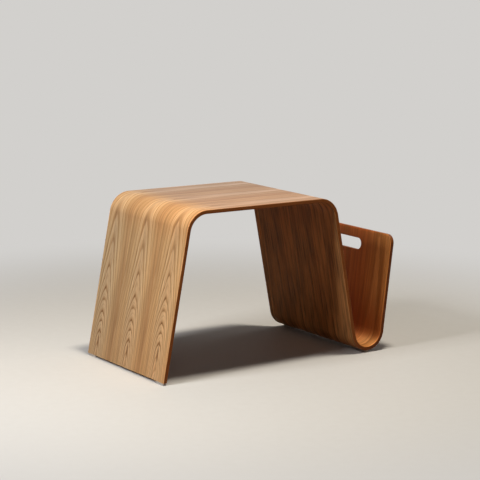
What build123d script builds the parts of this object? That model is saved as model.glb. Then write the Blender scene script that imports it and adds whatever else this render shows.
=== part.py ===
"""Side table with a magazine pocket, moulded from one strip of plywood on small foot pads.

The strip starts at the floor on the left, climbs the leg, runs flat as the table top, slopes down as
the rack wall, turns up in a round pocket and ends in a free flap with a hand slot. Its upper face is
the leg's outside, the table top and the pocket's inside. X runs along the table, Y across it, Z up.
The origin is on the floor, midway between the ends and the sides.
"""
from build123d import *
import os
from math import cos, radians, sin

# Table, in millimetres
table_height = 440.0
table_width = 390.0
flat_top_length = 360.0
flap_height = 320.0

# Lean of the three standing runs, in degrees from upright
leg_lean = 10.4
rack_lean = 11.3
flap_lean = 6.9

# Bends, measured on the strip's upper face
leg_bend_radius = 60.0
rack_bend_radius = 60.0
pocket_bend_radius = 44.0

# Plies: thin face veneers in three leaves each, over a core of crossed plies
face_thickness = 0.6
core_thickness = 1.3
core_count = 7
middle_leaf_width = 150.0

# Edges, flap corners and hand slot
edge_ease = 1.6
flap_corner_radius = 25.0
slot_length = 132.0
slot_height = 32.0
slot_below_flap_top = 29.0

# Foot pads, one near each end of the leg's foot and of the pocket's lowest line
pad_height = 6.0
pad_length = 38.0
leg_pad_width = 9.2
pocket_pad_width = 12.0
pad_inset = 3.0
pad_corner_radius = 2.5
pad_chamfer = 0.8

# Countersunk pad screws, two in each pad
screw_radius = 1.4
screw_head_radius = 2.8
screw_head_height = 1.5
screw_head_recess = 0.8
screw_bite = 6.4
screw_spacing = 22.0
screw_clearance = 0.2

# Working values
strip_thickness = 2 * face_thickness + core_count * core_thickness
overrun = 3.0
length_tolerance = 0.01
on_floor = (Align.CENTER, Align.CENTER, Align.MIN)
half_width = table_width / 2
leg_angle = radians(leg_lean)
rack_angle = radians(rack_lean)
flap_angle = radians(flap_lean)


def place_strip():
    """Find the start of the flat top and the pocket bend's centre, with the whole strip centred on X."""
    leg_height = table_height - leg_bend_radius + leg_bend_radius * sin(leg_angle) - pad_height
    foot_x = -leg_bend_radius * cos(leg_angle) - leg_height * sin(leg_angle) / cos(leg_angle)
    pocket_z = pad_height + strip_thickness + pocket_bend_radius
    rack_x = flat_top_length + rack_bend_radius * cos(rack_angle)
    rack_z = table_height - rack_bend_radius + rack_bend_radius * sin(rack_angle)
    rise = (pocket_z - rack_z) * sin(rack_angle)
    pocket_x = rack_x + (pocket_bend_radius - rise) / cos(rack_angle)
    flap_run = (flap_height - pocket_z + pocket_bend_radius * sin(flap_angle)) / cos(flap_angle)
    outer_radius = pocket_bend_radius + strip_thickness
    flap_corner_x = pocket_x + outer_radius * cos(flap_angle) + flap_run * sin(flap_angle)
    flap_x = flap_corner_x - edge_ease * (cos(flap_angle) + sin(flap_angle) - 1)
    shift = -(foot_x + flap_x) / 2
    return shift, pocket_x + shift, pocket_z, flap_run


top_start_x, pocket_x, pocket_z, flap_run = place_strip()
top_end_x = top_start_x + flat_top_length


def leg_point(depth, height):
    """Point on the leg at a depth below its outer face and a height above the floor."""
    radius = leg_bend_radius - depth
    bend_x = top_start_x - radius * cos(leg_angle)
    bend_z = table_height - leg_bend_radius + radius * sin(leg_angle)
    return bend_x - (bend_z - height) * sin(leg_angle) / cos(leg_angle), height


def flap_point(depth, run):
    """Point on the flap at a depth below its inner face and a run above the pocket bend."""
    radius = pocket_bend_radius + depth
    x = pocket_x + radius * cos(flap_angle) + run * sin(flap_angle)
    return x, pocket_z - radius * sin(flap_angle) + run * cos(flap_angle)


def strip_line(depth, foot_height, run):
    """Draw the strip's run at one depth, from the foot to the flap's end, as lines and arcs."""
    leg_radius = leg_bend_radius - depth
    rack_radius = rack_bend_radius - depth
    pocket_radius = pocket_bend_radius + depth
    leg_centre = (top_start_x, table_height - leg_bend_radius)
    rack_centre = (top_end_x, table_height - rack_bend_radius)
    leg_bend = CenterArc(leg_centre, leg_radius, 180 - leg_lean, leg_lean - 90)
    rack_bend = CenterArc(rack_centre, rack_radius, 90, rack_lean - 90)
    pocket_bend = CenterArc((pocket_x, pocket_z), pocket_radius, 180 + rack_lean, 180 - rack_lean - flap_lean)
    Line(leg_point(depth, foot_height), leg_bend @ 0)
    Line(leg_bend @ 1, rack_bend @ 0)
    Line(rack_bend @ 1, pocket_bend @ 0)
    Line(pocket_bend @ 1, flap_point(depth, run))


def strip_layer(upper_depth, lower_depth, front_y, rear_y, foot_height, run):
    """Extrude the strip between two depths and two widthwise places."""
    with BuildPart() as layer:
        with BuildSketch(Plane.XZ.offset(-rear_y)):
            with BuildLine():
                strip_line(upper_depth, foot_height, run)
                strip_line(lower_depth, foot_height, run)
                Line(leg_point(upper_depth, foot_height), leg_point(lower_depth, foot_height))
                Line(flap_point(upper_depth, run), flap_point(lower_depth, run))
            make_face()
        extrude(amount=rear_y - front_y)
    return layer.part


def flap_plane():
    """Plane on the flap's inner face at the middle of its top edge, facing outwards, local Y up the flap."""
    x, z = flap_point(0, flap_run)
    outwards = (cos(flap_angle), 0, -sin(flap_angle))
    return Plane(origin=(x, 0, z), x_dir=(0, 1, 0), z_dir=outwards)


def flap_cutters():
    """Solids that round the flap's two top corners and cut its hand slot."""
    cut_depth = strip_thickness + 2 * overrun
    corner_offset = half_width - flap_corner_radius
    slot_drop = slot_below_flap_top + slot_height / 2
    with BuildPart() as cutters:
        with BuildSketch(flap_plane().offset(-overrun)):
            with Locations((0, -slot_drop)):
                SlotOverall(slot_length, slot_height)
            for side in (-1, 1):
                with Locations((side * (half_width - flap_corner_radius / 2), -flap_corner_radius / 2)):
                    Rectangle(flap_corner_radius, flap_corner_radius)
                with Locations((side * corner_offset, -flap_corner_radius)):
                    Circle(flap_corner_radius, mode=Mode.SUBTRACT)
        extrude(amount=cut_depth)
    return cutters.part


def eased_edges(shell):
    """Edges where a face of the strip meets a side, the flap's end or the hand slot's wall."""
    at_foot = shell.edges().filter_by_position(
        Axis.Z, pad_height - length_tolerance, pad_height + length_tolerance)
    across = shell.edges().filter_by(lambda edge: abs(edge.length - strip_thickness) < length_tolerance)
    seams = shell.edges().filter_by(Axis.Y).filter_by(
        lambda edge: abs(edge.length - table_width) < length_tolerance)
    return shell.edges() - at_foot - across - seams


def moulded_shell():
    """The whole strip as one body: trimmed, slotted and with its edges eased."""
    shell = strip_layer(0, strip_thickness, -half_width, half_width, pad_height, flap_run)
    shell = shell - flap_cutters()
    return fillet(eased_edges(shell), edge_ease)


def pad_centres():
    """Plan centres of the foot pads, by node name."""
    foot_x = (leg_point(0, pad_height)[0] + leg_point(strip_thickness, pad_height)[0]) / 2
    pad_y = half_width - pad_inset - pad_length / 2
    return {
        "leg_pad_front": (foot_x, -pad_y),
        "leg_pad_rear": (foot_x, pad_y),
        "pocket_pad_front": (pocket_x, -pad_y),
        "pocket_pad_rear": (pocket_x, pad_y),
    }


def screw_places(centre):
    """Places on the floor under the two screws of one pad."""
    x, y = centre
    return [Pos(x, y + side * screw_spacing / 2, 0) for side in (-1, 1)]


def screw():
    """One countersunk screw, standing on its head just over the floor."""
    shank_length = pad_height + screw_bite - screw_head_recess - screw_head_height
    head = Cone(screw_head_radius, screw_radius, screw_head_height, align=on_floor)
    shank = Pos(0, 0, screw_head_height) * Cylinder(screw_radius, shank_length, align=on_floor)
    return Pos(0, 0, screw_head_recess) * (head + shank)


def pad_hole():
    """Countersunk clearance hole for one screw, as a cutter through a pad."""
    mouth = Cylinder(screw_head_radius, screw_head_recess, align=on_floor)
    seat = Cone(screw_head_radius, screw_radius, screw_head_height, align=on_floor)
    bore = Cylinder(screw_radius + screw_clearance, pad_height + strip_thickness, align=on_floor)
    return mouth + Pos(0, 0, screw_head_recess) * seat + bore


def pilot_hole():
    """Hole in the plies that one screw's shank fills."""
    return Cylinder(screw_radius, pad_height + screw_bite, align=on_floor)


def pad_block(centre, width, height):
    """Pad with rounded corners, chamfered where it meets the floor and drilled for its screws."""
    plan = Pos(*centre, 0) * RectangleRounded(width, pad_length, pad_corner_radius)
    block = extrude(plan, height)
    block = chamfer(block.faces().sort_by(Axis.Z)[0].edges(), pad_chamfer)
    return block - [place * pad_hole() for place in screw_places(centre)]


def leg_pad(centre):
    """Pad with a flat top, under the level cut of the leg's foot."""
    return pad_block(centre, leg_pad_width, pad_height)


def pocket_pad(centre):
    """Pad hollowed above to the round outside of the pocket bend."""
    outer_radius = pocket_bend_radius + strip_thickness
    bend = Pos(pocket_x, 0, pocket_z) * Rot(90, 0, 0) * Cylinder(outer_radius, table_width)
    return pad_block(centre, pocket_pad_width, pad_height + strip_thickness) - bend


def ply(shell, pilots, upper_depth, lower_depth, front_y, rear_y):
    """One veneer of the strip: a layer of the shell, drilled where the pad screws enter it."""
    layer = strip_layer(upper_depth, lower_depth, front_y, rear_y, pad_height - overrun, flap_run + overrun)
    return (shell & layer) - pilots


def strip_plies():
    """Every veneer of the strip, by node name, from the upper face down."""
    shell = moulded_shell()
    pilots = [place * pilot_hole() for centre in pad_centres().values() for place in screw_places(centre)]
    beyond = half_width + overrun
    leaf_edge = middle_leaf_width / 2
    leaves = {
        "front_leaf": (-beyond, -leaf_edge),
        "middle_leaf": (-leaf_edge, leaf_edge),
        "rear_leaf": (leaf_edge, beyond),
    }
    plies = {}
    for leaf, (front_y, rear_y) in leaves.items():
        plies[f"upper_face_{leaf}"] = ply(shell, pilots, -overrun, face_thickness, front_y, rear_y)
        plies[f"under_face_{leaf}"] = ply(
            shell, pilots, strip_thickness - face_thickness, strip_thickness + overrun, front_y, rear_y)
    for index in range(core_count):
        grain = "long" if index % 2 else "cross"
        upper_depth = face_thickness + index * core_thickness
        plies[f"core_ply_{index + 1}_{grain}"] = ply(
            shell, pilots, upper_depth, upper_depth + core_thickness, -beyond, beyond)
    return plies


def foot_pads():
    """The four pads, by node name."""
    makers = {"leg": leg_pad, "pocket": pocket_pad}
    return {name: makers[name.split("_")[0]](centre) for name, centre in pad_centres().items()}


def pad_screws():
    """All the pad screws, as one group of separate solids."""
    return Compound([place * screw() for centre in pad_centres().values() for place in screw_places(centre)])


nodes = {**strip_plies(), **foot_pads(), "pad_screws": pad_screws()}
os.makedirs("parts", exist_ok=True)
for name, shape in nodes.items():
    export_step(shape, f"parts/{name}.step")
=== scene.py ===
"""Looks of the bent plywood side table with a magazine pocket.

The veneers of the moulded strip are cut from one flat blank, bent round the strip's runs and dressed as
lacquered wood. The pads and screws keep their solids and get their own finishes.
"""

import logging
import math
from collections.abc import Iterator, Sequence
from contextlib import contextmanager
from dataclasses import dataclass, field
from enum import Enum

import bmesh
import bpy
import numpy as np
from mathutils import Matrix, Vector


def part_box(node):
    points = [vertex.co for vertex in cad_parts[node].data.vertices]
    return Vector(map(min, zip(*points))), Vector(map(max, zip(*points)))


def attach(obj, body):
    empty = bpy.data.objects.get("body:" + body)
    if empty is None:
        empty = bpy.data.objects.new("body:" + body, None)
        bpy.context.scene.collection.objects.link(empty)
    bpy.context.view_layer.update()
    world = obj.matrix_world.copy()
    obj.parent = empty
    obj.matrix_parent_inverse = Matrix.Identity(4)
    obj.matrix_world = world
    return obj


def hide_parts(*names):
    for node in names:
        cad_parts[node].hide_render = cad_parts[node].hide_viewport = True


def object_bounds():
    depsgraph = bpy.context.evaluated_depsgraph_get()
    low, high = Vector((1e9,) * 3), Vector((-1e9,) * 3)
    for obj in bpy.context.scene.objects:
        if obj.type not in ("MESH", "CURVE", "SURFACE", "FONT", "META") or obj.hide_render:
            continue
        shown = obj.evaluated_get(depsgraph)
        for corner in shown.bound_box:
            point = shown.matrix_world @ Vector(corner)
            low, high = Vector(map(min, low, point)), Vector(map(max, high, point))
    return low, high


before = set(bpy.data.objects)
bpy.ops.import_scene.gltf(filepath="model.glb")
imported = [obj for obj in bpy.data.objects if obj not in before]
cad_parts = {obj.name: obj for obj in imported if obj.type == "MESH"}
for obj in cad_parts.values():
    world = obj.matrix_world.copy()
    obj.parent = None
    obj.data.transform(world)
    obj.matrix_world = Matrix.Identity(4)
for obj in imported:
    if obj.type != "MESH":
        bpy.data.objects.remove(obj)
cad_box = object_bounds()

IMAGE_WIDTH = 480
TOLERANCE = 1e-5
log = logging.getLogger("side_table")

Socket = bpy.types.NodeSocket
Feed = Socket | float | Sequence[float]
Colour = tuple[float, float, float, float]

# Where a smooth step starts and ends and, unless they are nought and one, its levels there
Curve = tuple[float, ...]


class Grain(Enum):
    """Which way a veneer's grain runs, or that it is a face veneer."""

    FACE = "face"
    LONG = "long"
    CROSS = "cross"


class Face(Enum):
    """The two faces of the strip: the table top's side and the side under it."""

    UPPER = "upper"
    UNDER = "under"


class Leaf(Enum):
    """The three leaves that make up a face veneer, from the front edge to the rear."""

    FRONT = "front"
    MIDDLE = "middle"
    REAR = "rear"


def linear(red: int, green: int, blue: int) -> Colour:
    """Turn a screen colour of 0 to 255 into the linear colour that shaders take.

    Args:
        red: Red level on screen.
        green: Green level on screen.
        blue: Blue level on screen.

    Returns:
        Linear red, green, blue and an alpha of one.
    """
    levels = [level / 255 for level in (red, green, blue)]
    return (*(v / 12.92 if v <= 0.04045 else ((v + 0.055) / 1.055) ** 2.4 for v in levels), 1.0)


class Graph:
    """The node tree of a material or a world, built one node at a time."""

    def __init__(self, owner: bpy.types.Material | bpy.types.World) -> None:
        """Open the owner's tree, which starts with one plain shader.

        Args:
            owner: The new material or world.
        """
        owner.use_nodes = True
        self.owner = owner
        self.tree = owner.node_tree

    def feed(self, socket: Socket, value: Feed) -> None:
        """Link a socket to another node's output, or set its constant.

        Args:
            socket: The input to feed.
            value: An output to link, or a constant.
        """
        if isinstance(value, Socket):
            self.tree.links.new(value, socket)
        else:
            socket.default_value = value

    def node(self, kind: str, inputs: dict[str | int, Feed], **settings: object) -> bpy.types.Node:
        """Add a node.

        Args:
            kind: Blender's name of the node type.
            inputs: Values or links for its input sockets, by name or number.
            **settings: The node's own properties.

        Returns:
            The new node.
        """
        added = self.tree.nodes.new(kind)
        for name, value in settings.items():
            setattr(added, name, value)
        for key, value in inputs.items():
            self.feed(added.inputs[key], value)
        return added

    def attribute(self, name: str, output: str) -> Socket:
        """Read one of the piece's own attributes."""
        return self.node("ShaderNodeAttribute", {}, attribute_name=name).outputs[output]

    def object_place(self) -> Socket:
        """Give each point's place in its piece's own frame."""
        return self.node("ShaderNodeTexCoord", {}).outputs["Object"]

    def joined(self, x: Feed, y: Feed, z: Feed = 0.0) -> Socket:
        """Join three numbers into a coordinate."""
        return self.node("ShaderNodeCombineXYZ", {0: x, 1: y, 2: z}).outputs[0]

    def parts(self, vector: Feed) -> Sequence[Socket]:
        """Split a coordinate into its three numbers."""
        return self.node("ShaderNodeSeparateXYZ", {0: vector}).outputs

    def distance(self, vector: Feed) -> Socket:
        """Measure how far a coordinate lies from nought."""
        return self.node("ShaderNodeVectorMath", {0: vector}, operation="LENGTH").outputs["Value"]

    def math(self, operation: str, first: Feed, second: Feed = 0.0) -> Socket:
        """Combine two numbers with a Math node and give its output."""
        return self.node("ShaderNodeMath", {0: first, 1: second}, operation=operation).outputs[0]

    def total(self, *terms: Feed) -> Socket:
        """Add up numbers.

        Args:
            *terms: Outputs or constants.

        Returns:
            The output of the last sum.
        """
        result = terms[0]
        for term in terms[1:]:
            result = self.math("ADD", result, term)
        return result

    def product(self, *terms: Feed) -> Socket:
        """Multiply numbers.

        Args:
            *terms: Outputs or constants.

        Returns:
            The output of the last product.
        """
        result = terms[0]
        for term in terms[1:]:
            result = self.math("MULTIPLY", result, term)
        return result

    def spared(self, value: Feed, share: float) -> Socket:
        """Give what is left of one when a share of a value is taken off."""
        return self.math("SUBTRACT", 1.0, self.product(value, share))

    def hypotenuse(self, first: Feed, second: Feed) -> Socket:
        """Give the long side of a right-angled triangle from its two short ones."""
        squares = [self.math("POWER", side, 2.0) for side in (first, second)]
        return self.math("SQRT", self.total(*squares))

    def scaled(self, vector: Feed, scale: Sequence[float], shift: Sequence[float] = (0, 0, 0)) -> Socket:
        """Stretch and shift a coordinate.

        Args:
            vector: The coordinate.
            scale: Factor along each axis.
            shift: Distance added along each axis after the stretch.

        Returns:
            The new coordinate.
        """
        inputs = {"Vector": vector, "Location": shift, "Scale": scale}
        return self.node("ShaderNodeMapping", inputs).outputs[0]

    def noise(self, vector: Feed, detail: float = 2.0, roughness: float = 0.5) -> Socket:
        """Cloudy noise, one feature to each unit of the coordinate, from 0 to 1 about a half."""
        inputs = {"Vector": vector, "Scale": 1.0, "Detail": detail, "Roughness": roughness}
        return self.node("ShaderNodeTexNoise", inputs).outputs[0]

    def swing(self, noise: Feed, reach: float) -> Socket:
        """Turn noise about a half into a swing about nought."""
        return self.product(self.math("SUBTRACT", noise, 0.5), reach)

    def ease(self, value: Feed, start: float, end: float, low: float = 0.0, high: float = 1.0) -> Socket:
        """Go smoothly from low to high as a value goes from start to end."""
        inputs = {0: value, 1: start, 2: end, 3: low, 4: high}
        return self.node("ShaderNodeMapRange", inputs, interpolation_type="SMOOTHSTEP").outputs[0]

    def ramp(self, factor: Feed, stops: Sequence[tuple[float, float]]) -> Socket:
        """Read a curve drawn through stops.

        Args:
            factor: Where the curve is read, from 0 to 1.
            stops: Place and level of each stop, in order.

        Returns:
            The curve's level.
        """
        added = self.node("ShaderNodeValToRGB", {0: factor})
        elements = added.color_ramp.elements
        while len(elements) < len(stops):
            elements.new(0.5)
        for element, (place, level) in zip(elements, stops):
            element.position = place
            element.color = (level, level, level, 1.0)
        return added.outputs[0]

    def mix(self, factor: Feed, first: Feed, second: Feed, blend: str = "MIX") -> Socket:
        """Blend from a first colour to a second."""
        inputs = {0: factor, 6: first, 7: second}
        return self.node("ShaderNodeMix", inputs, data_type="RGBA", blend_type=blend).outputs[2]

    def tint(self, factor: Feed, colour: Feed, tint: Feed) -> Socket:
        """Multiply a colour by a tint, as far as the factor says."""
        return self.mix(factor, colour, tint, "MULTIPLY")

    def bump(self, height: Feed, strength: float, distance: float) -> Socket:
        """Turn a height into a surface normal."""
        inputs = {"Height": height, "Strength": strength, "Distance": distance}
        return self.node("ShaderNodeBump", inputs).outputs[0]

    def finish(self, **sockets: Feed) -> bpy.types.Material:
        """Feed the shader of a material.

        Args:
            **sockets: Values or links for its sockets, named with underscores for spaces.

        Returns:
            The finished material.
        """
        for name, value in sockets.items():
            self.feed(self.tree.nodes["Principled BSDF"].inputs[name.replace("_", " ")], value)
        return self.owner


@dataclass(frozen=True)
class Pattern:
    """Noise drawn out along the grain, with so many features to the metre along it and across it."""

    along: float
    across: float
    layer: float = 0.0
    detail: float = 2.0
    roughness: float = 0.5

    def draw(self, graph: Graph, place: Socket) -> Socket:
        """Add the noise to a material, in its own layer of the wood."""
        stretched = graph.scaled(place, (self.along, self.across, 1.0), (0.0, 0.0, self.layer))
        return graph.noise(stretched, self.detail, self.roughness)


@dataclass(frozen=True)
class Tone:
    """A tint over one stretch of the strip, which fades in and, where it has a fall, out again."""

    tint: Colour
    rise: Curve
    fall: Curve | None = None

    def share(self, graph: Graph, run: Socket) -> Socket:
        """Find how far the tint takes hold at each distance along the strip."""
        risen = graph.ease(run, *self.rise)
        return graph.product(risen, graph.ease(run, *self.fall)) if self.fall else risen


@dataclass(frozen=True)
class Rings:
    """The log's rings as a crown cut shows them: nested peaks up the leaf's middle."""

    width: float = 0.0030
    near: float = 0.040
    widening: float = 1.39
    heart_depth: float = 0.034
    heart_round: float = 0.002
    taper: float = 0.060
    taper_end: float = 0.50
    slow_taper: float = 0.015
    swell: float = 0.0060
    swell_zone: Curve = (0.055, 0.215)
    point: float = 0.008
    point_zone: Curve = (0.115, 0.295)
    sway: float = 0.012
    ripple: float = 0.0020
    jag: float = 0.0010
    sways: Pattern = Pattern(4.0, 5.0)
    ripples: Pattern = Pattern(14.0, 60.0, 5.0)
    jags: Pattern = Pattern(45.0, 220.0, 8.0, 1.0)

    def count(self, graph: Graph, place: Socket, along: Socket, across: Socket) -> Socket:
        """Work out how deep in the log each point lies, counted in rings.

        Args:
            graph: The material being built.
            place: Place on the leaf, for the patterns that unsettle the rings.
            along: Distance along the leaf.
            across: Distance from the leaf's heart line.

        Returns:
            The ring count, whose fraction runs through one ring.
        """
        heart = graph.total(across, graph.swing(self.sways.draw(graph, place), self.sway))
        swell = graph.ease(along, *self.swell_zone, 0.0, self.swell)
        taper = graph.product(graph.math("MINIMUM", along, self.taper_end), self.taper)
        depth = graph.total(graph.product(along, self.slow_taper), taper, swell, self.heart_depth)
        point = graph.ease(along, *self.point_zone, 0.0, self.point)
        side = graph.total(graph.hypotenuse(heart, self.heart_round), point)
        reach = graph.total(
            graph.hypotenuse(side, depth),
            graph.swing(self.ripples.draw(graph, place), self.ripple),
            graph.swing(self.jags.draw(graph, place), self.jag))
        growth = 1.0 - self.widening
        outward = graph.math("POWER", graph.math("DIVIDE", reach, self.near), growth)
        return graph.product(outward, self.near / growth / self.width)


@dataclass
class Figure:
    """What the colours of a face veneer are worked out from: places on it, its rings and its patterns."""

    place: Socket
    along: Socket
    across: Socket
    outward: Socket
    run: Socket
    side: Socket
    early: Socket
    late: Socket
    vigour: Socket
    streak: Socket
    band: Socket
    patch: Socket
    pocket: Socket
    crest: Socket
    calm: Socket
    fading: Socket


@dataclass(frozen=True)
class VeneerFinish:
    """Clear lacquer over a crown-cut face veneer, toned along the strip with painted light and shade.

    A piece's grain attribute holds the distance along its leaf in X and across it, from the heart line, in Y.
    Its run attribute holds the distance along the whole strip, from the foot.
    """

    name: str
    seed: float
    ground: Colour = linear(192, 152, 103)
    pale: Colour = linear(222, 190, 146)
    line: Colour = linear(120, 78, 36)
    stripe: Colour = linear(169, 125, 82)
    rings: Rings = Rings()
    ring_unevenness: float = 0.8
    vigour_shift: float = 6.0
    dark_wood: tuple[tuple[float, float], ...] = (
        (0.0, 0.05), (0.05, 0.80), (0.13, 1.0), (0.22, 0.50), (0.32, 0.12), (0.50, 0.05), (0.60, 0.25),
        (0.70, 0.04), (0.90, 0.0), (1.0, 0.05))
    pale_wood: tuple[tuple[float, float], ...] = (
        (0.0, 0.5), (0.05, 0.0), (0.34, 0.0), (0.50, 0.8), (0.60, 0.4), (0.72, 0.7), (0.86, 1.0),
        (1.0, 0.5))

    # Patterns in the wood
    streaks: Pattern = Pattern(8.0, 520.0, 3.0, 3.0, 0.6)
    bands: Pattern = Pattern(7.0, 120.0, 4.0)
    clouds: Pattern = Pattern(1.5, 30.0, 7.0)
    dashes: Pattern = Pattern(70.0, 2300.0, 9.0, 1.0)
    patches: Pattern = Pattern(14.0, 70.0, 11.0, 1.0)
    threads: Pattern = Pattern(6.0, 240.0, 13.0, 1.0)

    # Pale wood, broad stripes and the glow along the heart line
    pale_reach: Curve = (0.010, 0.050, 1.5, 0.35)
    stripe_clouds: Curve = (0.45, 0.75, 0.0, 0.5)
    stripe_flank: Curve = (-0.040, -0.068, 0.0, 0.5)
    stripe_loss: float = 0.8
    glow_reach: Curve = (0.004, 0.022, 0.26, 0.0)
    glow_run: Curve = (0.90, 1.30, 1.0, 0.4)

    # Tones along the strip and across it: a warmer pocket, partly painted shade, and painted light, shade and
    # highlights elsewhere
    warmth: float = 1.0
    pocket_zone: Curve = (0.78, 1.28)
    # Warmer wood in the pocket: partly a real tone, partly painted shade
    pocket_tone_and_shade: Colour = (0.94, 0.62, 0.37, 1.0)
    # Painted shade deep in the pocket, away from its open front and rear
    deep_zone: Curve = (0.195, 0.060)
    painted_deep_shade: Colour = (0.68, 0.45, 0.36, 1.0)
    # Painted light falloff across the strip: lighter at the front edge, darker at the rear
    light_falloff_zone: Curve = (-0.195, 0.195)
    painted_front_light: Colour = (1.07, 1.03, 0.99, 1.0)
    painted_rear_shade: Colour = (0.88, 0.94, 1.02, 1.0)
    # Painted pool of light on the pocket's floor
    painted_floor_light: Tone = Tone((1.25, 1.35, 1.5, 1.0), (1.318, 1.340), (1.374, 1.350))
    # Painted shadow over the lower flap, just past the pocket's floor
    painted_fold_shadow: Tone = Tone((0.62, 0.49, 0.42, 1.0), (1.350, 1.378), (1.52, 1.39))
    # Painted warm highlight along the bend from the leg to the top; its stretch also strengthens the ring
    # lines there
    painted_bend_glow: Tone = Tone((1.04, 0.93, 0.85, 1.0), (0.34, 0.42), (0.54, 0.45))
    warm_foot: Tone = Tone((1.04, 0.93, 0.85, 1.0), (0.22, 0.0, 0.0, 0.4))
    # Painted shade over the flat table top, with a cool cast of painted sheen
    painted_top_shade: Tone = Tone((0.75, 0.75, 1.02, 1.0), (0.43, 0.55), (1.10, 0.84))
    # Painted highlight along the eased rims and the flap's end
    rim_zone: Curve = (0.1895, 0.1930)
    tip_zone: Curve = (1.648, 1.653)
    painted_rim_highlight: Colour = (1.34, 1.25, 1.18, 1.0)

    # Dark ring lines, with the levels that they keep from the foot to the pocket and across the leaf
    line_strength: float = 0.98
    line_vigour: Curve = (0.3, 0.7)
    weak_share: float = 0.5
    line_streaks: Curve = (0.2, 0.8, 0.6, 1.0)
    line_patches: Curve = (0.38, 0.62, 0.55, 1.15)
    leg_fading: Curve = (0.24, 0.42, 1.0, 0.7)
    top_fading: Curve = (0.455, 0.55, 1.0, 0.58)
    crest_gain: float = 0.6
    pocket_gain: Curve = (0.90, 1.30, 1.0, 2.4)
    line_core: Curve = (0.003, 0.018, 1.35, 0.62)
    line_flank: Curve = (0.020, 0.065, 1.0, 0.7)
    line_lean: Curve = (-0.020, 0.020, 0.75, 1.1)
    cap_reach: Curve = (0.004, 0.020, 1.0, 0.0)
    cap_run: Curve = (0.14, 0.40)
    cap_loss: float = 0.25

    # The dark eye near the foot and the threads below it
    eye: float = 0.045
    eye_scale: tuple[float, float] = (28.0, 170.0)
    eye_edge: Curve = (1.0, 0.2)
    eye_bands: Curve = (0.3, 0.6, 0.45, 0.95)
    stem_top: float = 0.010
    stem_fade: float = 0.015
    stem_reach: Curve = (0.022, 0.004)
    stem_loss: float = 0.8
    stem_threads: Curve = (0.50, 0.66, 0.05, 0.9)

    # Pores, shading and lacquer
    pore_dashes: Curve = (0.56, 0.70)
    pore_spread: float = 0.15
    pore_strength: float = 0.5
    pore_relief: float = -1.0
    line_relief: float = -0.25
    relief: tuple[float, float] = (0.22, 0.00015)
    streaking: float = 0.09
    streak_zone: Curve = (0.2, 0.8, -1.0, 1.0)
    streak_run: Curve = (0.90, 1.30)
    pocket_streaking: float = 2.0
    banding: float = 0.15
    band_zone: Curve = (0.25, 0.75)
    mottle: float = 0.0
    mottle_zone: Curve = (0.35, 0.65)
    roughness: float = 0.45
    streak_roughness: float = 0.10
    gloss: float = 0.18

    def figure(self, graph: Graph) -> Figure:
        """Lay out the veneer's places, rings and patterns.

        Args:
            graph: The material being built.

        Returns:
            The sockets that the colours are worked out from.
        """
        along, across = graph.parts(graph.attribute("grain", "Vector"))[:2]
        run = graph.attribute("run", "Fac")
        place = graph.joined(along, across, self.seed)
        rings = self.rings.count(graph, place, along, across)
        uneven = graph.noise(graph.joined(rings, self.seed), 1.0)
        phase = graph.math("FRACT", graph.total(rings, graph.product(uneven, self.ring_unevenness)))
        calm = graph.ease(run, *self.top_fading)
        return Figure(
            place=place,
            along=along,
            across=across,
            outward=graph.math("ABSOLUTE", across),
            run=run,
            side=graph.parts(graph.object_place())[1],
            early=graph.ramp(phase, self.dark_wood),
            late=graph.ramp(phase, self.pale_wood),
            vigour=graph.noise(graph.joined(rings, self.seed + self.vigour_shift), 0.0),
            streak=self.streaks.draw(graph, place),
            band=self.bands.draw(graph, place),
            patch=self.patches.draw(graph, place),
            pocket=graph.ease(run, *self.pocket_zone, 0.0, self.warmth),
            crest=self.painted_bend_glow.share(graph, run),
            calm=calm,
            fading=graph.product(graph.ease(run, *self.leg_fading), calm),
        )

    def wood(self, graph: Graph, figure: Figure) -> Socket:
        """Mix the ground with pale wood, broad stripes and the glow along the heart line.

        Args:
            graph: The material being built.
            figure: The veneer's places, rings and patterns.

        Returns:
            The wood's colour before tones and lines.
        """
        late = graph.product(figure.late, graph.ease(figure.outward, *self.pale_reach), figure.fading)
        colour = graph.mix(late, self.ground, self.pale)
        cloud = graph.ease(self.clouds.draw(graph, figure.place), *self.stripe_clouds)
        broad = graph.total(cloud, graph.ease(figure.across, *self.stripe_flank))
        broad = graph.product(broad, graph.spared(figure.pocket, self.stripe_loss))
        colour = graph.mix(broad, colour, self.stripe)
        glow = graph.product(graph.ease(figure.outward, *self.glow_reach), self.warmth)
        glow = graph.product(glow, graph.ease(figure.run, *self.glow_run), figure.calm)
        return graph.mix(glow, colour, self.pale)

    def toned(self, graph: Graph, figure: Figure, colour: Socket) -> Socket:
        """Tint the wood along the strip, across it and along its eased rim, with painted light and shade.

        Args:
            graph: The material being built.
            figure: The veneer's places, rings and patterns.
            colour: The wood's colour.

        Returns:
            The tinted colour.
        """
        outer = graph.math("ABSOLUTE", figure.side)
        # Painted light falloff outside the pocket: lighter towards the front, darker towards the rear
        painted_falloff = graph.mix(graph.ease(figure.side, *self.light_falloff_zone), self.painted_front_light, self.painted_rear_shade)
        colour = graph.tint(graph.math("SUBTRACT", self.warmth, figure.pocket), colour, painted_falloff)
        # Warmer, darker pocket: partly the wood's own tone, partly painted shade
        colour = graph.tint(figure.pocket, colour, self.pocket_tone_and_shade)
        # Painted shade, darkest midway between the pocket's open ends
        deep = graph.product(figure.pocket, graph.ease(outer, *self.deep_zone))
        colour = graph.tint(deep, colour, self.painted_deep_shade)
        # Painted light and shadow in the pocket, a painted glow on the bend, a warmer foot and painted shade
        # on the top
        for tone in (self.painted_floor_light, self.painted_fold_shadow, self.painted_bend_glow, self.warm_foot, self.painted_top_shade):
            share = graph.product(tone.share(graph, figure.run), self.warmth)
            colour = graph.tint(share, colour, tone.tint)
        # Painted highlight along the eased rims and the flap's end
        rim_highlight = graph.math("MAXIMUM", graph.ease(outer, *self.rim_zone), graph.ease(figure.run, *self.tip_zone))
        return graph.tint(graph.product(rim_highlight, self.warmth), colour, self.painted_rim_highlight)

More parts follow.
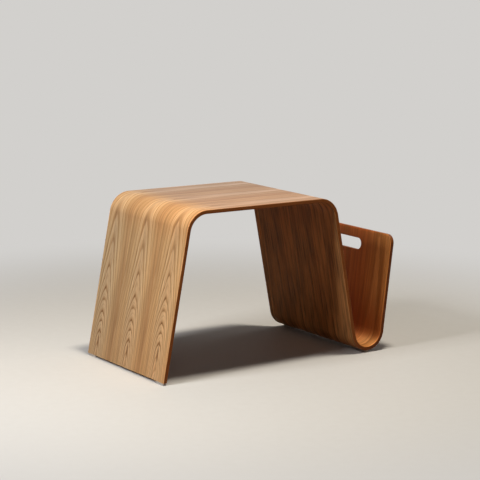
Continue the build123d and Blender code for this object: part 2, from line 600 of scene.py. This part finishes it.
    def lines(self, graph: Graph, figure: Figure) -> Socket:
        """Work out how strongly the dark ring lines show.

        Args:
            graph: The material being built.
            figure: The veneer's places, rings and patterns.

        Returns:
            The lines' share of the colour.
        """
        caps = graph.product(
            graph.ease(figure.outward, *self.cap_reach), graph.ease(figure.along, *self.cap_run))
        lines = graph.product(
            figure.early,
            graph.ease(figure.streak, *self.line_streaks),
            graph.ease(figure.patch, *self.line_patches),
            figure.fading,
            graph.total(graph.product(figure.crest, self.crest_gain), 1.0),
            graph.ease(figure.run, *self.pocket_gain),
            graph.ease(figure.outward, *self.line_core),
            graph.ease(figure.outward, *self.line_flank),
            graph.ease(figure.across, *self.line_lean),
            graph.spared(caps, self.cap_loss))
        below = graph.ease(figure.along, self.eye + self.stem_top, self.eye - self.stem_fade)
        stem = graph.product(below, graph.ease(figure.outward, *self.stem_reach))
        threads = graph.ease(self.threads.draw(graph, figure.place), *self.stem_threads)
        lines = graph.product(lines, graph.spared(stem, self.stem_loss))
        lines = graph.total(lines, graph.product(stem, threads))
        weakest = self.weak_share * self.line_strength
        vigour = graph.ease(figure.vigour, *self.line_vigour, weakest, self.line_strength)
        return graph.product(lines, vigour)

    def shade(self, graph: Graph, figure: Figure) -> Socket:
        """Work out how fine streaks, bands and mottling lighten or darken the colour.

        Args:
            graph: The material being built.
            figure: The veneer's places, rings and patterns.

        Returns:
            A factor about one.
        """
        strongest = (1.0 + self.pocket_streaking * self.warmth) * self.streaking
        strength = graph.ease(figure.run, *self.streak_run, self.streaking, strongest)
        return graph.total(
            graph.product(graph.ease(figure.streak, *self.streak_zone), strength),
            graph.ease(figure.band, *self.band_zone, 1.0 - self.banding, 1.0 + self.banding),
            graph.ease(figure.patch, *self.mottle_zone, -self.mottle, self.mottle))

    def material(self) -> bpy.types.Material:
        """Build the material: toned wood, ring lines, the dark eye, pores and fine shading.

        Returns:
            The material of one face's leaves.
        """
        graph = Graph(bpy.data.materials.new(self.name))
        figure = self.figure(graph)
        colour = self.toned(graph, figure, self.wood(graph, figure))
        colour = graph.mix(self.lines(graph, figure), colour, self.line)
        spot = graph.scaled(figure.place, (*self.eye_scale, 0.0), (-self.eye_scale[0] * self.eye, 0.0, 0.0))
        spot = graph.ease(graph.distance(spot), *self.eye_edge)
        colour = graph.mix(graph.product(spot, graph.ease(figure.band, *self.eye_bands)), colour, self.line)
        pores = graph.ease(self.dashes.draw(graph, figure.place), *self.pore_dashes)
        pores = graph.product(pores, graph.total(figure.early, self.pore_spread))
        colour = graph.mix(graph.product(pores, self.pore_strength), colour, self.line)
        shaded = graph.node(
            "ShaderNodeVectorMath", {0: colour, 3: self.shade(graph, figure)}, operation="SCALE")
        height = graph.total(
            graph.product(pores, self.pore_relief), graph.product(figure.early, self.line_relief))
        return graph.finish(
            Base_Color=shaded.outputs[0],
            Roughness=graph.total(graph.product(figure.streak, self.streak_roughness), self.roughness),
            Normal=graph.bump(height, *self.relief),
            Specular_IOR_Level=self.gloss)


@dataclass(frozen=True)
class PlyEdgeFinish:
    """Sanded and lacquered edge of a core ply, seen along its grain or across it."""

    name: str
    grain: Grain
    pale: Colour
    dark: Colour
    long_fibres: tuple[float, float] = (14.0, 700.0)
    cross_fibres: tuple[float, float] = (900.0, 14.0)
    fibre_layers: float = 1500.0
    fibre_noise: tuple[float, float] = (3.0, 0.65)
    fibre_share: float = 0.6
    tone_scale: tuple[float, float, float] = (7.0, 7.0, 300.0)
    tone_shift: tuple[float, float, float] = (4.0, 0.0, 0.0)
    tone_share: float = 0.5
    dark_zone: Curve = (0.3, 0.8)
    # Painted shade on the ply edges round the pocket
    pocket: Tone = Tone((0.66, 0.56, 0.42, 1.0), (1.24, 1.34))
    roughness: float = 0.38
    fibre_roughness: float = 0.16
    relief: tuple[float, float] = (0.2, 0.0001)
    gloss: float = 0.2

    def material(self) -> bpy.types.Material:
        """Build the material: fibres along the ply's grain, with painted shade round the pocket.

        Returns:
            The material of the plies whose grain runs this way.
        """
        graph = Graph(bpy.data.materials.new(self.name))
        place = graph.attribute("grain", "Vector")
        scale = self.long_fibres if self.grain is Grain.LONG else self.cross_fibres
        fibres = graph.noise(graph.scaled(place, (*scale, self.fibre_layers)), *self.fibre_noise)
        tone = graph.noise(graph.scaled(place, self.tone_scale, self.tone_shift), 2.0)
        factor = graph.total(graph.product(fibres, self.fibre_share), graph.product(tone, self.tone_share))
        colour = graph.mix(graph.ease(factor, *self.dark_zone), self.pale, self.dark)
        # Painted shade round the pocket
        shaded = self.pocket.share(graph, graph.attribute("run", "Fac"))
        return graph.finish(
            Base_Color=graph.tint(shaded, colour, self.pocket.tint),
            Roughness=graph.total(graph.product(fibres, self.fibre_roughness), self.roughness),
            Normal=graph.bump(fibres, *self.relief),
            Specular_IOR_Level=self.gloss)


@dataclass(frozen=True)
class PadFinish:
    """Pale translucent moulded plastic with a faint mould texture."""

    name: str = "pad_plastic"
    clear: Colour = linear(226, 224, 218)
    milky: Colour = linear(204, 200, 191)
    cloud_scale: tuple[float, float, float] = (260.0, 260.0, 260.0)
    matt_scale: tuple[float, float, float] = (2600.0, 2600.0, 2600.0)
    roughness: float = 0.3
    matt_roughness: float = 0.2
    relief: tuple[float, float] = (0.15, 0.00005)
    translucency: float = 0.25
    refraction: float = 1.49

    def material(self) -> bpy.types.Material:
        """Build the material: milky clouds and a fine matt texture.

        Returns:
            The material of the pads.
        """
        graph = Graph(bpy.data.materials.new(self.name))
        place = graph.object_place()
        clouds = graph.noise(graph.scaled(place, self.cloud_scale), 2.0)
        matt = graph.noise(graph.scaled(place, self.matt_scale), 1.0)
        return graph.finish(
            Base_Color=graph.mix(clouds, self.clear, self.milky),
            Roughness=graph.total(graph.product(matt, self.matt_roughness), self.roughness),
            Normal=graph.bump(matt, *self.relief),
            Transmission_Weight=self.translucency,
            IOR=self.refraction)


@dataclass(frozen=True)
class ScrewFinish:
    """Zinc plated steel, turned and slightly dulled."""

    name: str = "screw_steel"
    bright: Colour = linear(188, 188, 186)
    dull: Colour = linear(142, 142, 140)
    patch_scale: tuple[float, float, float] = (900.0, 900.0, 900.0)
    mark_scale: tuple[float, float, float] = (300.0, 300.0, 9000.0)
    roughness: float = 0.22
    patch_roughness: float = 0.25
    relief: tuple[float, float] = (0.2, 0.00003)

    def material(self) -> bpy.types.Material:
        """Build the material: fine turning marks and dull patches.

        Returns:
            The material of the screws.
        """
        graph = Graph(bpy.data.materials.new(self.name))
        place = graph.object_place()
        patches = graph.noise(graph.scaled(place, self.patch_scale), 2.0)
        marks = graph.noise(graph.scaled(place, self.mark_scale), 1.0)
        return graph.finish(
            Base_Color=graph.mix(patches, self.bright, self.dull),
            Roughness=graph.total(graph.product(patches, self.patch_roughness), self.roughness),
            Normal=graph.bump(marks, *self.relief),
            Metallic=1.0)


def make_active(piece: bpy.types.Object) -> None:
    """Select one object alone and make it the active one.

    Args:
        piece: The object.
    """
    bpy.ops.object.select_all(action="DESELECT")
    piece.select_set(True)
    bpy.context.view_layer.objects.active = piece


@contextmanager
def editing(piece: bpy.types.Object) -> Iterator[bmesh.types.BMesh]:
    """Open a piece in edit mode with nothing selected, and close it again.

    Args:
        piece: The object to edit.

    Yields:
        Its edit mesh, for selecting in code.
    """
    make_active(piece)
    bpy.ops.object.mode_set(mode="EDIT")
    bpy.ops.mesh.select_all(action="DESELECT")
    yield bmesh.from_edit_mesh(piece.data)
    bpy.ops.object.mode_set(mode="OBJECT")


def apply_modifier(piece: bpy.types.Object, kind: str, **settings: object) -> None:
    """Add a modifier with these settings and apply it.

    Args:
        piece: The object that gets the modifier.
        kind: Blender's name of the modifier type.
        **settings: The modifier's own properties.
    """
    make_active(piece)
    modifier = piece.modifiers.new(kind.lower(), kind)
    for name, value in settings.items():
        setattr(modifier, name, value)
    bpy.ops.object.modifier_apply(modifier=modifier.name)


def slice_off(place: Sequence[float], normal: Sequence[float]) -> None:
    """In edit mode, cut the whole mesh by a plane, drop what lies ahead of it and close the cut.

    Args:
        place: A point of the plane.
        normal: The way ahead of the plane.
    """
    bpy.ops.mesh.select_all(action="SELECT")
    bpy.ops.mesh.bisect(
        plane_co=place, plane_no=normal, clear_outer=True, use_fill=True, threshold=TOLERANCE)


@dataclass(frozen=True)
class Run:
    """One stretch of the strip's upper face: straight where its turn is nought, else an arc."""

    start: float
    length: float
    x: float
    z: float
    heading: float
    turn: float

    def place(self, along: np.ndarray) -> tuple[np.ndarray, np.ndarray, np.ndarray]:
        """Find points of the run.

        Args:
            along: Distances along the whole strip.

        Returns:
            X, Z and heading at each distance.
        """
        gone = along - self.start
        if not self.turn:
            flat = np.full_like(along, self.heading)
            return self.x + gone * math.cos(self.heading), self.z + gone * math.sin(self.heading), flat
        heading = self.heading + self.turn * gone / self.length
        radius = self.length / self.turn
        x = self.x + radius * (np.sin(heading) - math.sin(self.heading))
        z = self.z - radius * (np.cos(heading) - math.cos(self.heading))
        return x, z, heading


@dataclass(frozen=True)
class Ply:
    """One veneer of the strip: its node's name, depths below the upper face, edges and grain."""

    node: str
    upper: float
    lower: float
    front: float
    rear: float
    grain: Grain


@dataclass
class MouldedStrip:
    """The moulded plywood strip: leg, table top, rack wall, pocket and flap, in glued veneers."""

    foot_x: float
    height: float
    width: float
    pad_height: float
    thickness: float
    flat_top: float = 0.360
    flap_height: float = 0.320
    leg_lean: float = math.radians(10.4)
    rack_lean: float = math.radians(11.3)
    flap_lean: float = math.radians(6.9)
    leg_bend: float = 0.060
    rack_bend: float = 0.060
    pocket_bend: float = 0.044
    edge_ease: float = 0.0016
    ease_steps: int = 6
    corner_radius: float = 0.025
    corner_steps: int = 18
    slot_length: float = 0.132
    slot_height: float = 0.032
    slot_drop: float = 0.029
    bend_step: float = math.radians(2.5)
    foot_spare: float = 0.020
    sharp_angle: float = math.radians(45)
    smooth_angle: float = math.radians(40)
    flatness: int = 80
    runs: list[Run] = field(init=False)

    def __post_init__(self) -> None:
        """Lay the strip's runs end to end from the foot."""
        quarter = math.pi / 2
        leg_top = self.height - self.leg_bend * (1 - math.sin(self.leg_lean))
        rack_top = self.height - self.rack_bend * (1 - math.sin(self.rack_lean))
        pocket_z = self.pad_height + self.thickness + self.pocket_bend
        rack_foot = pocket_z - self.pocket_bend * math.sin(self.rack_lean)
        flap_foot = pocket_z - self.pocket_bend * math.sin(self.flap_lean)
        stretches = (
            ((leg_top - self.pad_height) / math.cos(self.leg_lean), 0.0),
            (self.leg_bend, self.leg_lean - quarter),
            (self.flat_top, 0.0),
            (self.rack_bend, self.rack_lean - quarter),
            ((rack_top - rack_foot) / math.cos(self.rack_lean), 0.0),
            (self.pocket_bend, math.pi - self.rack_lean - self.flap_lean),
            ((self.flap_height - flap_foot) / math.cos(self.flap_lean), 0.0),
        )
        self.runs = []
        start, x, z, heading = 0.0, self.foot_x, self.pad_height, quarter - self.leg_lean
        for size, turn in stretches:
            run = Run(start, size * abs(turn) if turn else size, x, z, heading, turn)
            self.runs.append(run)
            start += run.length
            x, z, heading = (float(value[0]) for value in run.place(np.array([start])))

    @property
    def length(self) -> float:
        """Length of the strip's upper face from the foot to the flap's end."""
        return self.runs[-1].start + self.runs[-1].length

    def stations(self) -> list[float]:
        """Work out where the veneers are scored so that they can bend.

        Returns:
            Distances along the strip.
        """
        marks = []
        for run in self.runs:
            steps = math.ceil(abs(run.turn) / self.bend_step)
            marks += [run.start + run.length * step / steps for step in range(steps + 1) if steps]
        return marks

    def blank(self) -> bpy.types.Object:
        """Model the flat blank: corners rounded, hand slot cut and edges eased.

        Returns:
            The blank, lying along X with its upper face at a height of nought.
        """
        bpy.ops.object.select_all(action="DESELECT")
        middle = (self.length - self.foot_spare) / 2
        bpy.ops.mesh.primitive_plane_add(size=1, location=(middle, 0, 0))
        blank = bpy.context.object
        blank.scale = (self.length + self.foot_spare, self.width, 1)
        bpy.ops.object.transform_apply(location=True, rotation=True, scale=True)
        with editing(blank) as mesh:
            for vert in mesh.verts:
                vert.select = vert.co.x > middle
            bmesh.update_edit_mesh(blank.data)
            bpy.ops.mesh.bevel(offset=self.corner_radius, segments=self.corner_steps, affect="VERTICES")
        apply_modifier(blank, "SOLIDIFY", thickness=self.thickness, offset=-1)
        self.cut_slot(blank)
        self.ease_edges(blank)
        return blank

    def cut_slot(self, blank: bpy.types.Object) -> None:
        """Cut the round-ended hand slot through the blank with a stretched drum.

        Args:
            blank: The flat blank.
        """
        radius = self.slot_height / 2
        along = self.length - self.slot_drop - radius
        sides = 4 * self.corner_steps
        bpy.ops.object.select_all(action="DESELECT")
        bpy.ops.mesh.primitive_cylinder_add(
            vertices=sides, radius=radius, depth=4 * self.thickness, location=(along, 0, 0),
            rotation=(0, 0, math.pi / sides))
        drum = bpy.context.object
        bpy.ops.object.transform_apply(location=True, rotation=True, scale=True)
        for side in (-1, 1):
            with editing(drum) as mesh:
                for vert in mesh.verts:
                    vert.select = vert.co.y * side > 0
                bmesh.update_edit_mesh(drum.data)
                bpy.ops.transform.translate(value=(0, side * (self.slot_length / 2 - radius), 0))
        apply_modifier(blank, "BOOLEAN", operation="DIFFERENCE", object=drum, solver="EXACT")
        bpy.data.objects.remove(drum)

    def ease_edges(self, blank: bpy.types.Object) -> None:
        """Round every edge of both faces, apart from the foot's.

        Args:
            blank: The flat blank.
        """
        with editing(blank) as mesh:
            bpy.ops.mesh.select_mode(type="EDGE")
            for edge in mesh.edges:
                ends = [vert.co for vert in edge.verts]
                level = abs(ends[0].z - ends[1].z) < TOLERANCE
                at_foot = max(end.x for end in ends) < 0
                edge.select = level and not at_foot and edge.calc_face_angle(0.0) > self.sharp_angle
            bmesh.update_edit_mesh(blank.data)
            bpy.ops.mesh.bevel(offset=self.edge_ease, segments=self.ease_steps, affect="EDGES")

    def cut_ply(self, blank: bpy.types.Object, ply: Ply) -> bpy.types.Object:
        """Cut one veneer out of a copy of the blank and score it across where it will bend.

        Args:
            blank: The flat blank.
            ply: The veneer's place in it.

        Returns:
            The veneer, still flat.
        """
        piece = blank.copy()
        piece.data = blank.data.copy()
        piece.name = piece.data.name = f"veneer_{ply.node}"
        bpy.context.scene.collection.objects.link(piece)
        with editing(piece):
            if ply.upper > TOLERANCE:
                slice_off((0, 0, -ply.upper), (0, 0, 1))
            if ply.lower < self.thickness - TOLERANCE:
                slice_off((0, 0, -ply.lower), (0, 0, -1))
            if ply.front > TOLERANCE - self.width / 2:
                slice_off((0, ply.front, 0), (0, -1, 0))
            if ply.rear < self.width / 2 - TOLERANCE:
                slice_off((0, ply.rear, 0), (0, 1, 0))
            slice_off((0, 0, 0), (-1, 0, -math.tan(self.leg_lean)))
            for station in self.stations():
                bpy.ops.mesh.select_all(action="SELECT")
                bpy.ops.mesh.bisect(plane_co=(station, 0, 0), plane_no=(1, 0, 0), threshold=TOLERANCE)
        return piece

    def bend(self, piece: bpy.types.Object, grain_start: Vector) -> None:
        """Note each point's place on the flat veneer, then bend the veneer round the strip's runs.

        Args:
            piece: The flat veneer.
            grain_start: Point of the flat veneer where its grain is measured from.
        """
        count = len(piece.data.vertices)
        flat = np.empty(count * 3, np.float32)
        piece.data.vertices.foreach_get("co", flat)
        grain = piece.data.attributes.new("grain", "FLOAT_VECTOR", "POINT")
        grain.data.foreach_set("vector", (flat.reshape(-1, 3) - np.array(grain_start, np.float32)).ravel())
        along, across, rise = flat.reshape(-1, 3).astype(float).T
        run = piece.data.attributes.new("run", "FLOAT", "POINT")
        run.data.foreach_set("value", along.astype(np.float32))
        x, z, heading = self.runs[0].place(along)
        for stretch in self.runs[1:]:
            beyond = along > stretch.start
            for whole, part in zip((x, z, heading), stretch.place(along)):
                whole[beyond] = part[beyond]
        bent = np.stack((x - rise * np.sin(heading), across, z + rise * np.cos(heading)), axis=1)
        piece.data.vertices.foreach_set("co", bent.astype(np.float32).ravel())
        piece.data.update()

    def smooth(self, piece: bpy.types.Object) -> None:
        """Shade a bent veneer smoothly, with its flat runs kept flat.

        Args:
            piece: The bent veneer.
        """
        make_active(piece)
        bpy.ops.object.shade_smooth_by_angle(angle=self.smooth_angle)
        apply_modifier(piece, "WEIGHTED_NORMAL", keep_sharp=True, weight=self.flatness)


@dataclass
class Veneers:
    """All the veneers of the strip, with the finishes they are dressed in."""

    strip: MouldedStrip
    core_count: int = 7
    heart_lines: dict[Leaf, float] = field(default_factory=lambda: {
        Leaf.FRONT: -0.146, Leaf.MIDDLE: 0.0, Leaf.REAR: 0.1515})
    leaf_slips: dict[Leaf, float] = field(default_factory=lambda: {
        Leaf.FRONT: 0.020, Leaf.MIDDLE: 0.0, Leaf.REAR: -0.004})
    upper_finish: VeneerFinish = VeneerFinish("face_veneer_upper", 1.7)
    under_finish: VeneerFinish = VeneerFinish(
        "face_veneer_under", 23.4, ground=linear(192, 140, 88), pale=linear(206, 154, 100),
        line=linear(116, 70, 35), stripe=linear(160, 108, 64), clouds=Pattern(1.5, 55.0, 7.0),
        rings=Rings(width=0.0060, heart_depth=0.050, taper=0.0, slow_taper=0.025, swell=0.0),
        warmth=0.0, line_strength=0.66, eye=-1.0, streaking=0.24, banding=0.34, mottle=0.16, gloss=0.08)
    long_finish: PlyEdgeFinish = PlyEdgeFinish(
        "long_ply", Grain.LONG, linear(193, 122, 58), linear(149, 87, 36))
    cross_finish: PlyEdgeFinish = PlyEdgeFinish(
        "cross_ply", Grain.CROSS, linear(173, 106, 48), linear(129, 73, 30))

    def plies(self) -> list[Ply]:
        """List the veneers, with the depths and edges of their nodes.

        Returns:
            The leaves of the two faces, then the core plies from the upper face down.
        """
        height, edge = self.strip.height, self.strip.width / 2
        cores = [f"core_ply_{n}_{'cross' if n % 2 else 'long'}" for n in range(1, self.core_count + 1)]
        leaves = {(face, leaf): f"{face.value}_face_{leaf.value}_leaf" for face in Face for leaf in Leaf}
        under = leaves[Face.UNDER, Leaf.MIDDLE]
        depths = [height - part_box(node)[1].z for node in (*cores, under)]
        spans = {Face.UPPER: (0.0, depths[0]), Face.UNDER: (depths[-1], self.strip.thickness)}
        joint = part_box(under)[1].y
        edges = {Leaf.FRONT: (-edge, -joint), Leaf.MIDDLE: (-joint, joint), Leaf.REAR: (joint, edge)}
        listed = []
        for (face, leaf), node in leaves.items():
            listed.append(Ply(node, *spans[face], *edges[leaf], Grain.FACE))
        for node, upper, lower in zip(cores, depths, depths[1:]):
            listed.append(Ply(node, upper, lower, -edge, edge, Grain(node.rsplit("_", 1)[1])))
        return listed

    def grain_start(self, ply: Ply) -> Vector:
        """Find where a veneer's grain is measured from.

        Args:
            ply: The veneer.

        Returns:
            A point of its leaf's heart line, slipped along it, or the foot's middle for a core ply.
        """
        if ply.grain is not Grain.FACE:
            return Vector((0, 0, 0))
        leaf = Leaf(ply.node.split("_")[2])
        return Vector((self.leaf_slips[leaf], self.heart_lines[leaf], 0))

    def build(self) -> None:
        """Cut, bend and dress every veneer in place of its node."""
        finishes = {
            Face.UPPER: self.upper_finish.material(),
            Face.UNDER: self.under_finish.material(),
            Grain.LONG: self.long_finish.material(),
            Grain.CROSS: self.cross_finish.material(),
        }
        blank = self.strip.blank()
        for ply in self.plies():
            piece = self.strip.cut_ply(blank, ply)
            self.strip.bend(piece, self.grain_start(ply))
            self.strip.smooth(piece)
            key = Face(ply.node.split("_")[0]) if ply.grain is Grain.FACE else ply.grain
            piece.data.materials.append(finishes[key])
            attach(piece, "root")
            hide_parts(ply.node)
            log.info("%s: %d faces", piece.name, len(piece.data.polygons))
        bpy.data.objects.remove(blank)


@dataclass
class Feet:
    """The four foot pads and their screws, as built, in their own finishes."""

    pads: tuple[str, ...] = ("leg_pad_front", "leg_pad_rear", "pocket_pad_front", "pocket_pad_rear")
    screws: str = "pad_screws"
    pad_finish: PadFinish = PadFinish()
    screw_finish: ScrewFinish = ScrewFinish()

    def dress(self) -> None:
        """Give the pads and the screws their materials."""
        plastic = self.pad_finish.material()
        steel = self.screw_finish.material()
        for name, material in [*((pad, plastic) for pad in self.pads), (self.screws, steel)]:
            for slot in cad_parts[name].material_slots:
                slot.material = material
            log.info("%s: %s", name, material.name)


@dataclass
class SoftBox:
    """A square studio light that faces a point of the table."""

    name: str
    place: tuple[float, float, float]
    size: float
    power: float
    colour: tuple[float, float, float] = (1.0, 1.0, 1.0)
    aim: tuple[float, float, float] = (0.0, 0.0, 0.25)

    def build(self) -> None:
        """Add the light, turned to its aim."""
        lamp = bpy.data.lights.new(self.name, "AREA")
        lamp.size = self.size
        lamp.energy = self.power
        lamp.color = self.colour
        holder = bpy.data.objects.new(self.name, lamp)
        holder.location = self.place
        away = Vector(self.place) - Vector(self.aim)
        holder.rotation_euler = away.to_track_quat("Z", "Y").to_euler()
        bpy.context.scene.collection.objects.link(holder)


@dataclass
class Studio:
    """Pale floor, soft lights and the camera at the photograph's viewing angle."""

    floor_size: float = 24.0
    floor_squares: int = 8
    floor_pale: Colour = linear(210, 208, 205)
    floor_bounce: Colour = linear(116, 80, 53)
    floor_roughness: float = 0.7
    floor_gloss: float = 0.2
    grit_scale: tuple[float, float, float] = (40.0, 40.0, 40.0)
    grit_share: float = 0.06
    fade_zone: Curve = (0.6, 1.8)
    backdrop: Colour = linear(210, 208, 205)
    ambient: float = 0.015
    ambient_colour: Colour = (1.0, 0.97, 0.93, 1.0)
    camera_place: tuple[float, float, float] = (-2.5242, -3.6660, 1.1056)
    camera_yaw: float = math.radians(34.459)
    camera_pitch: float = math.radians(-10.126)
    camera_roll: float = math.radians(0.502)
    focal_pixels: float = 1665.75
    sensor_width: float = 36.0
    view_depth: float = 60.0
    boxes: tuple[SoftBox, ...] = (
        SoftBox("key_light", (0.2, -0.44, 3.3), 0.36, 72.0, (1.0, 0.93, 0.80)),
        SoftBox("side_light", (-1.7, -0.18, 1.5), 0.5, 29.8),
        SoftBox("right_light", (2.9, 0.6, 1.4), 1.4, 11.0, (1.0, 0.95, 0.9)),
        SoftBox("front_light", (-1.9, -2.9, 2.0), 1.4, 6.5, (1.0, 0.85, 0.7)),
    )

    def seen(self, graph: Graph) -> Socket:
        """Tell rays that show the studio to the camera from those that light the table.

        Args:
            graph: The material or world being built.

        Returns:
            One for a ray from the camera, from a sheen or through a clear piece, else nought.
        """
        rays = graph.node("ShaderNodeLightPath", {}).outputs
        shown = graph.math("MAXIMUM", rays["Is Camera Ray"], rays["Is Glossy Ray"])
        return graph.math("MAXIMUM", shown, rays["Is Transmission Ray"])

    def build_floor(self) -> None:
        """Add the floor, which shows pale, sends back a dimmer light and fades into the backdrop."""
        bpy.ops.object.select_all(action="DESELECT")
        bpy.ops.mesh.primitive_grid_add(
            x_subdivisions=self.floor_squares, y_subdivisions=self.floor_squares, size=self.floor_size)
        floor = bpy.context.object
        floor.name = "floor"
        graph = Graph(bpy.data.materials.new("floor"))
        seen = self.seen(graph)
        place = graph.object_place()
        grit = graph.noise(graph.scaled(place, self.grit_scale), 3.0)
        pale = graph.mix(graph.product(grit, self.grit_share), self.floor_pale, self.floor_bounce)
        graph.finish(
            Base_Color=graph.mix(seen, self.floor_bounce, pale),
            Roughness=self.floor_roughness,
            Specular_IOR_Level=self.floor_gloss)
        plain = graph.tree.nodes["Principled BSDF"]
        glow = graph.node("ShaderNodeEmission", {"Color": self.backdrop, "Strength": 1.0})
        fade = graph.product(graph.ease(graph.distance(place), *self.fade_zone), seen)
        blend = graph.node("ShaderNodeMixShader", {0: fade, 1: plain.outputs[0], 2: glow.outputs[0]})
        graph.feed(graph.tree.nodes["Material Output"].inputs["Surface"], blend.outputs[0])
        floor.data.materials.append(graph.owner)

    def build_world(self) -> None:
        """Light the scene evenly and dimly, with the pale backdrop shown to the camera."""
        graph = Graph(bpy.data.worlds.new("studio"))
        bpy.context.scene.world = graph.owner
        lit = graph.tree.nodes["Background"]
        graph.feed(lit.inputs["Color"], self.ambient_colour)
        graph.feed(lit.inputs["Strength"], self.ambient)
        shown = graph.node("ShaderNodeBackground", {"Color": self.backdrop})
        blend = graph.node(
            "ShaderNodeMixShader", {0: self.seen(graph), 1: lit.outputs[0], 2: shown.outputs[0]})
        graph.feed(graph.tree.nodes["World Output"].inputs["Surface"], blend.outputs[0])

    def build_camera(self) -> None:
        """Place the camera, turned by its yaw, pitch and roll."""
        lens = bpy.data.cameras.new("camera")
        lens.sensor_width = self.sensor_width
        lens.lens = self.focal_pixels / IMAGE_WIDTH * self.sensor_width
        lens.clip_end = self.view_depth
        camera = bpy.data.objects.new("camera", lens)
        yaw = Matrix.Rotation(-self.camera_yaw, 4, "Z")
        pitch = Matrix.Rotation(math.pi / 2 + self.camera_pitch, 4, "X")
        roll = Matrix.Rotation(self.camera_roll, 4, "Z")
        camera.matrix_world = Matrix.Translation(self.camera_place) @ yaw @ pitch @ roll
        bpy.context.scene.collection.objects.link(camera)
        bpy.context.scene.camera = camera

    def build(self) -> None:
        """Set up the whole studio."""
        bpy.context.scene.view_settings.view_transform = "Standard"
        self.build_floor()
        self.build_world()
        for box in self.boxes:
            box.build()
        self.build_camera()
        log.info("studio: %d lights", len(self.boxes))


def main() -> None:
    """Build the table's looks and the studio round it."""
    logging.basicConfig(level=logging.INFO, format="%(name)s %(message)s")
    low, high = cad_box
    face = high[2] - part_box("core_ply_1_cross")[1].z
    strip = MouldedStrip(
        foot_x=low[0], height=high[2], width=high[1] - low[1], pad_height=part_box("leg_pad_front")[1].z,
        thickness=high[2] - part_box("under_face_middle_leaf")[1].z + face)
    Veneers(strip).build()
    Feet().dress()
    Studio().build()


if __name__ == "__main__":
    main()
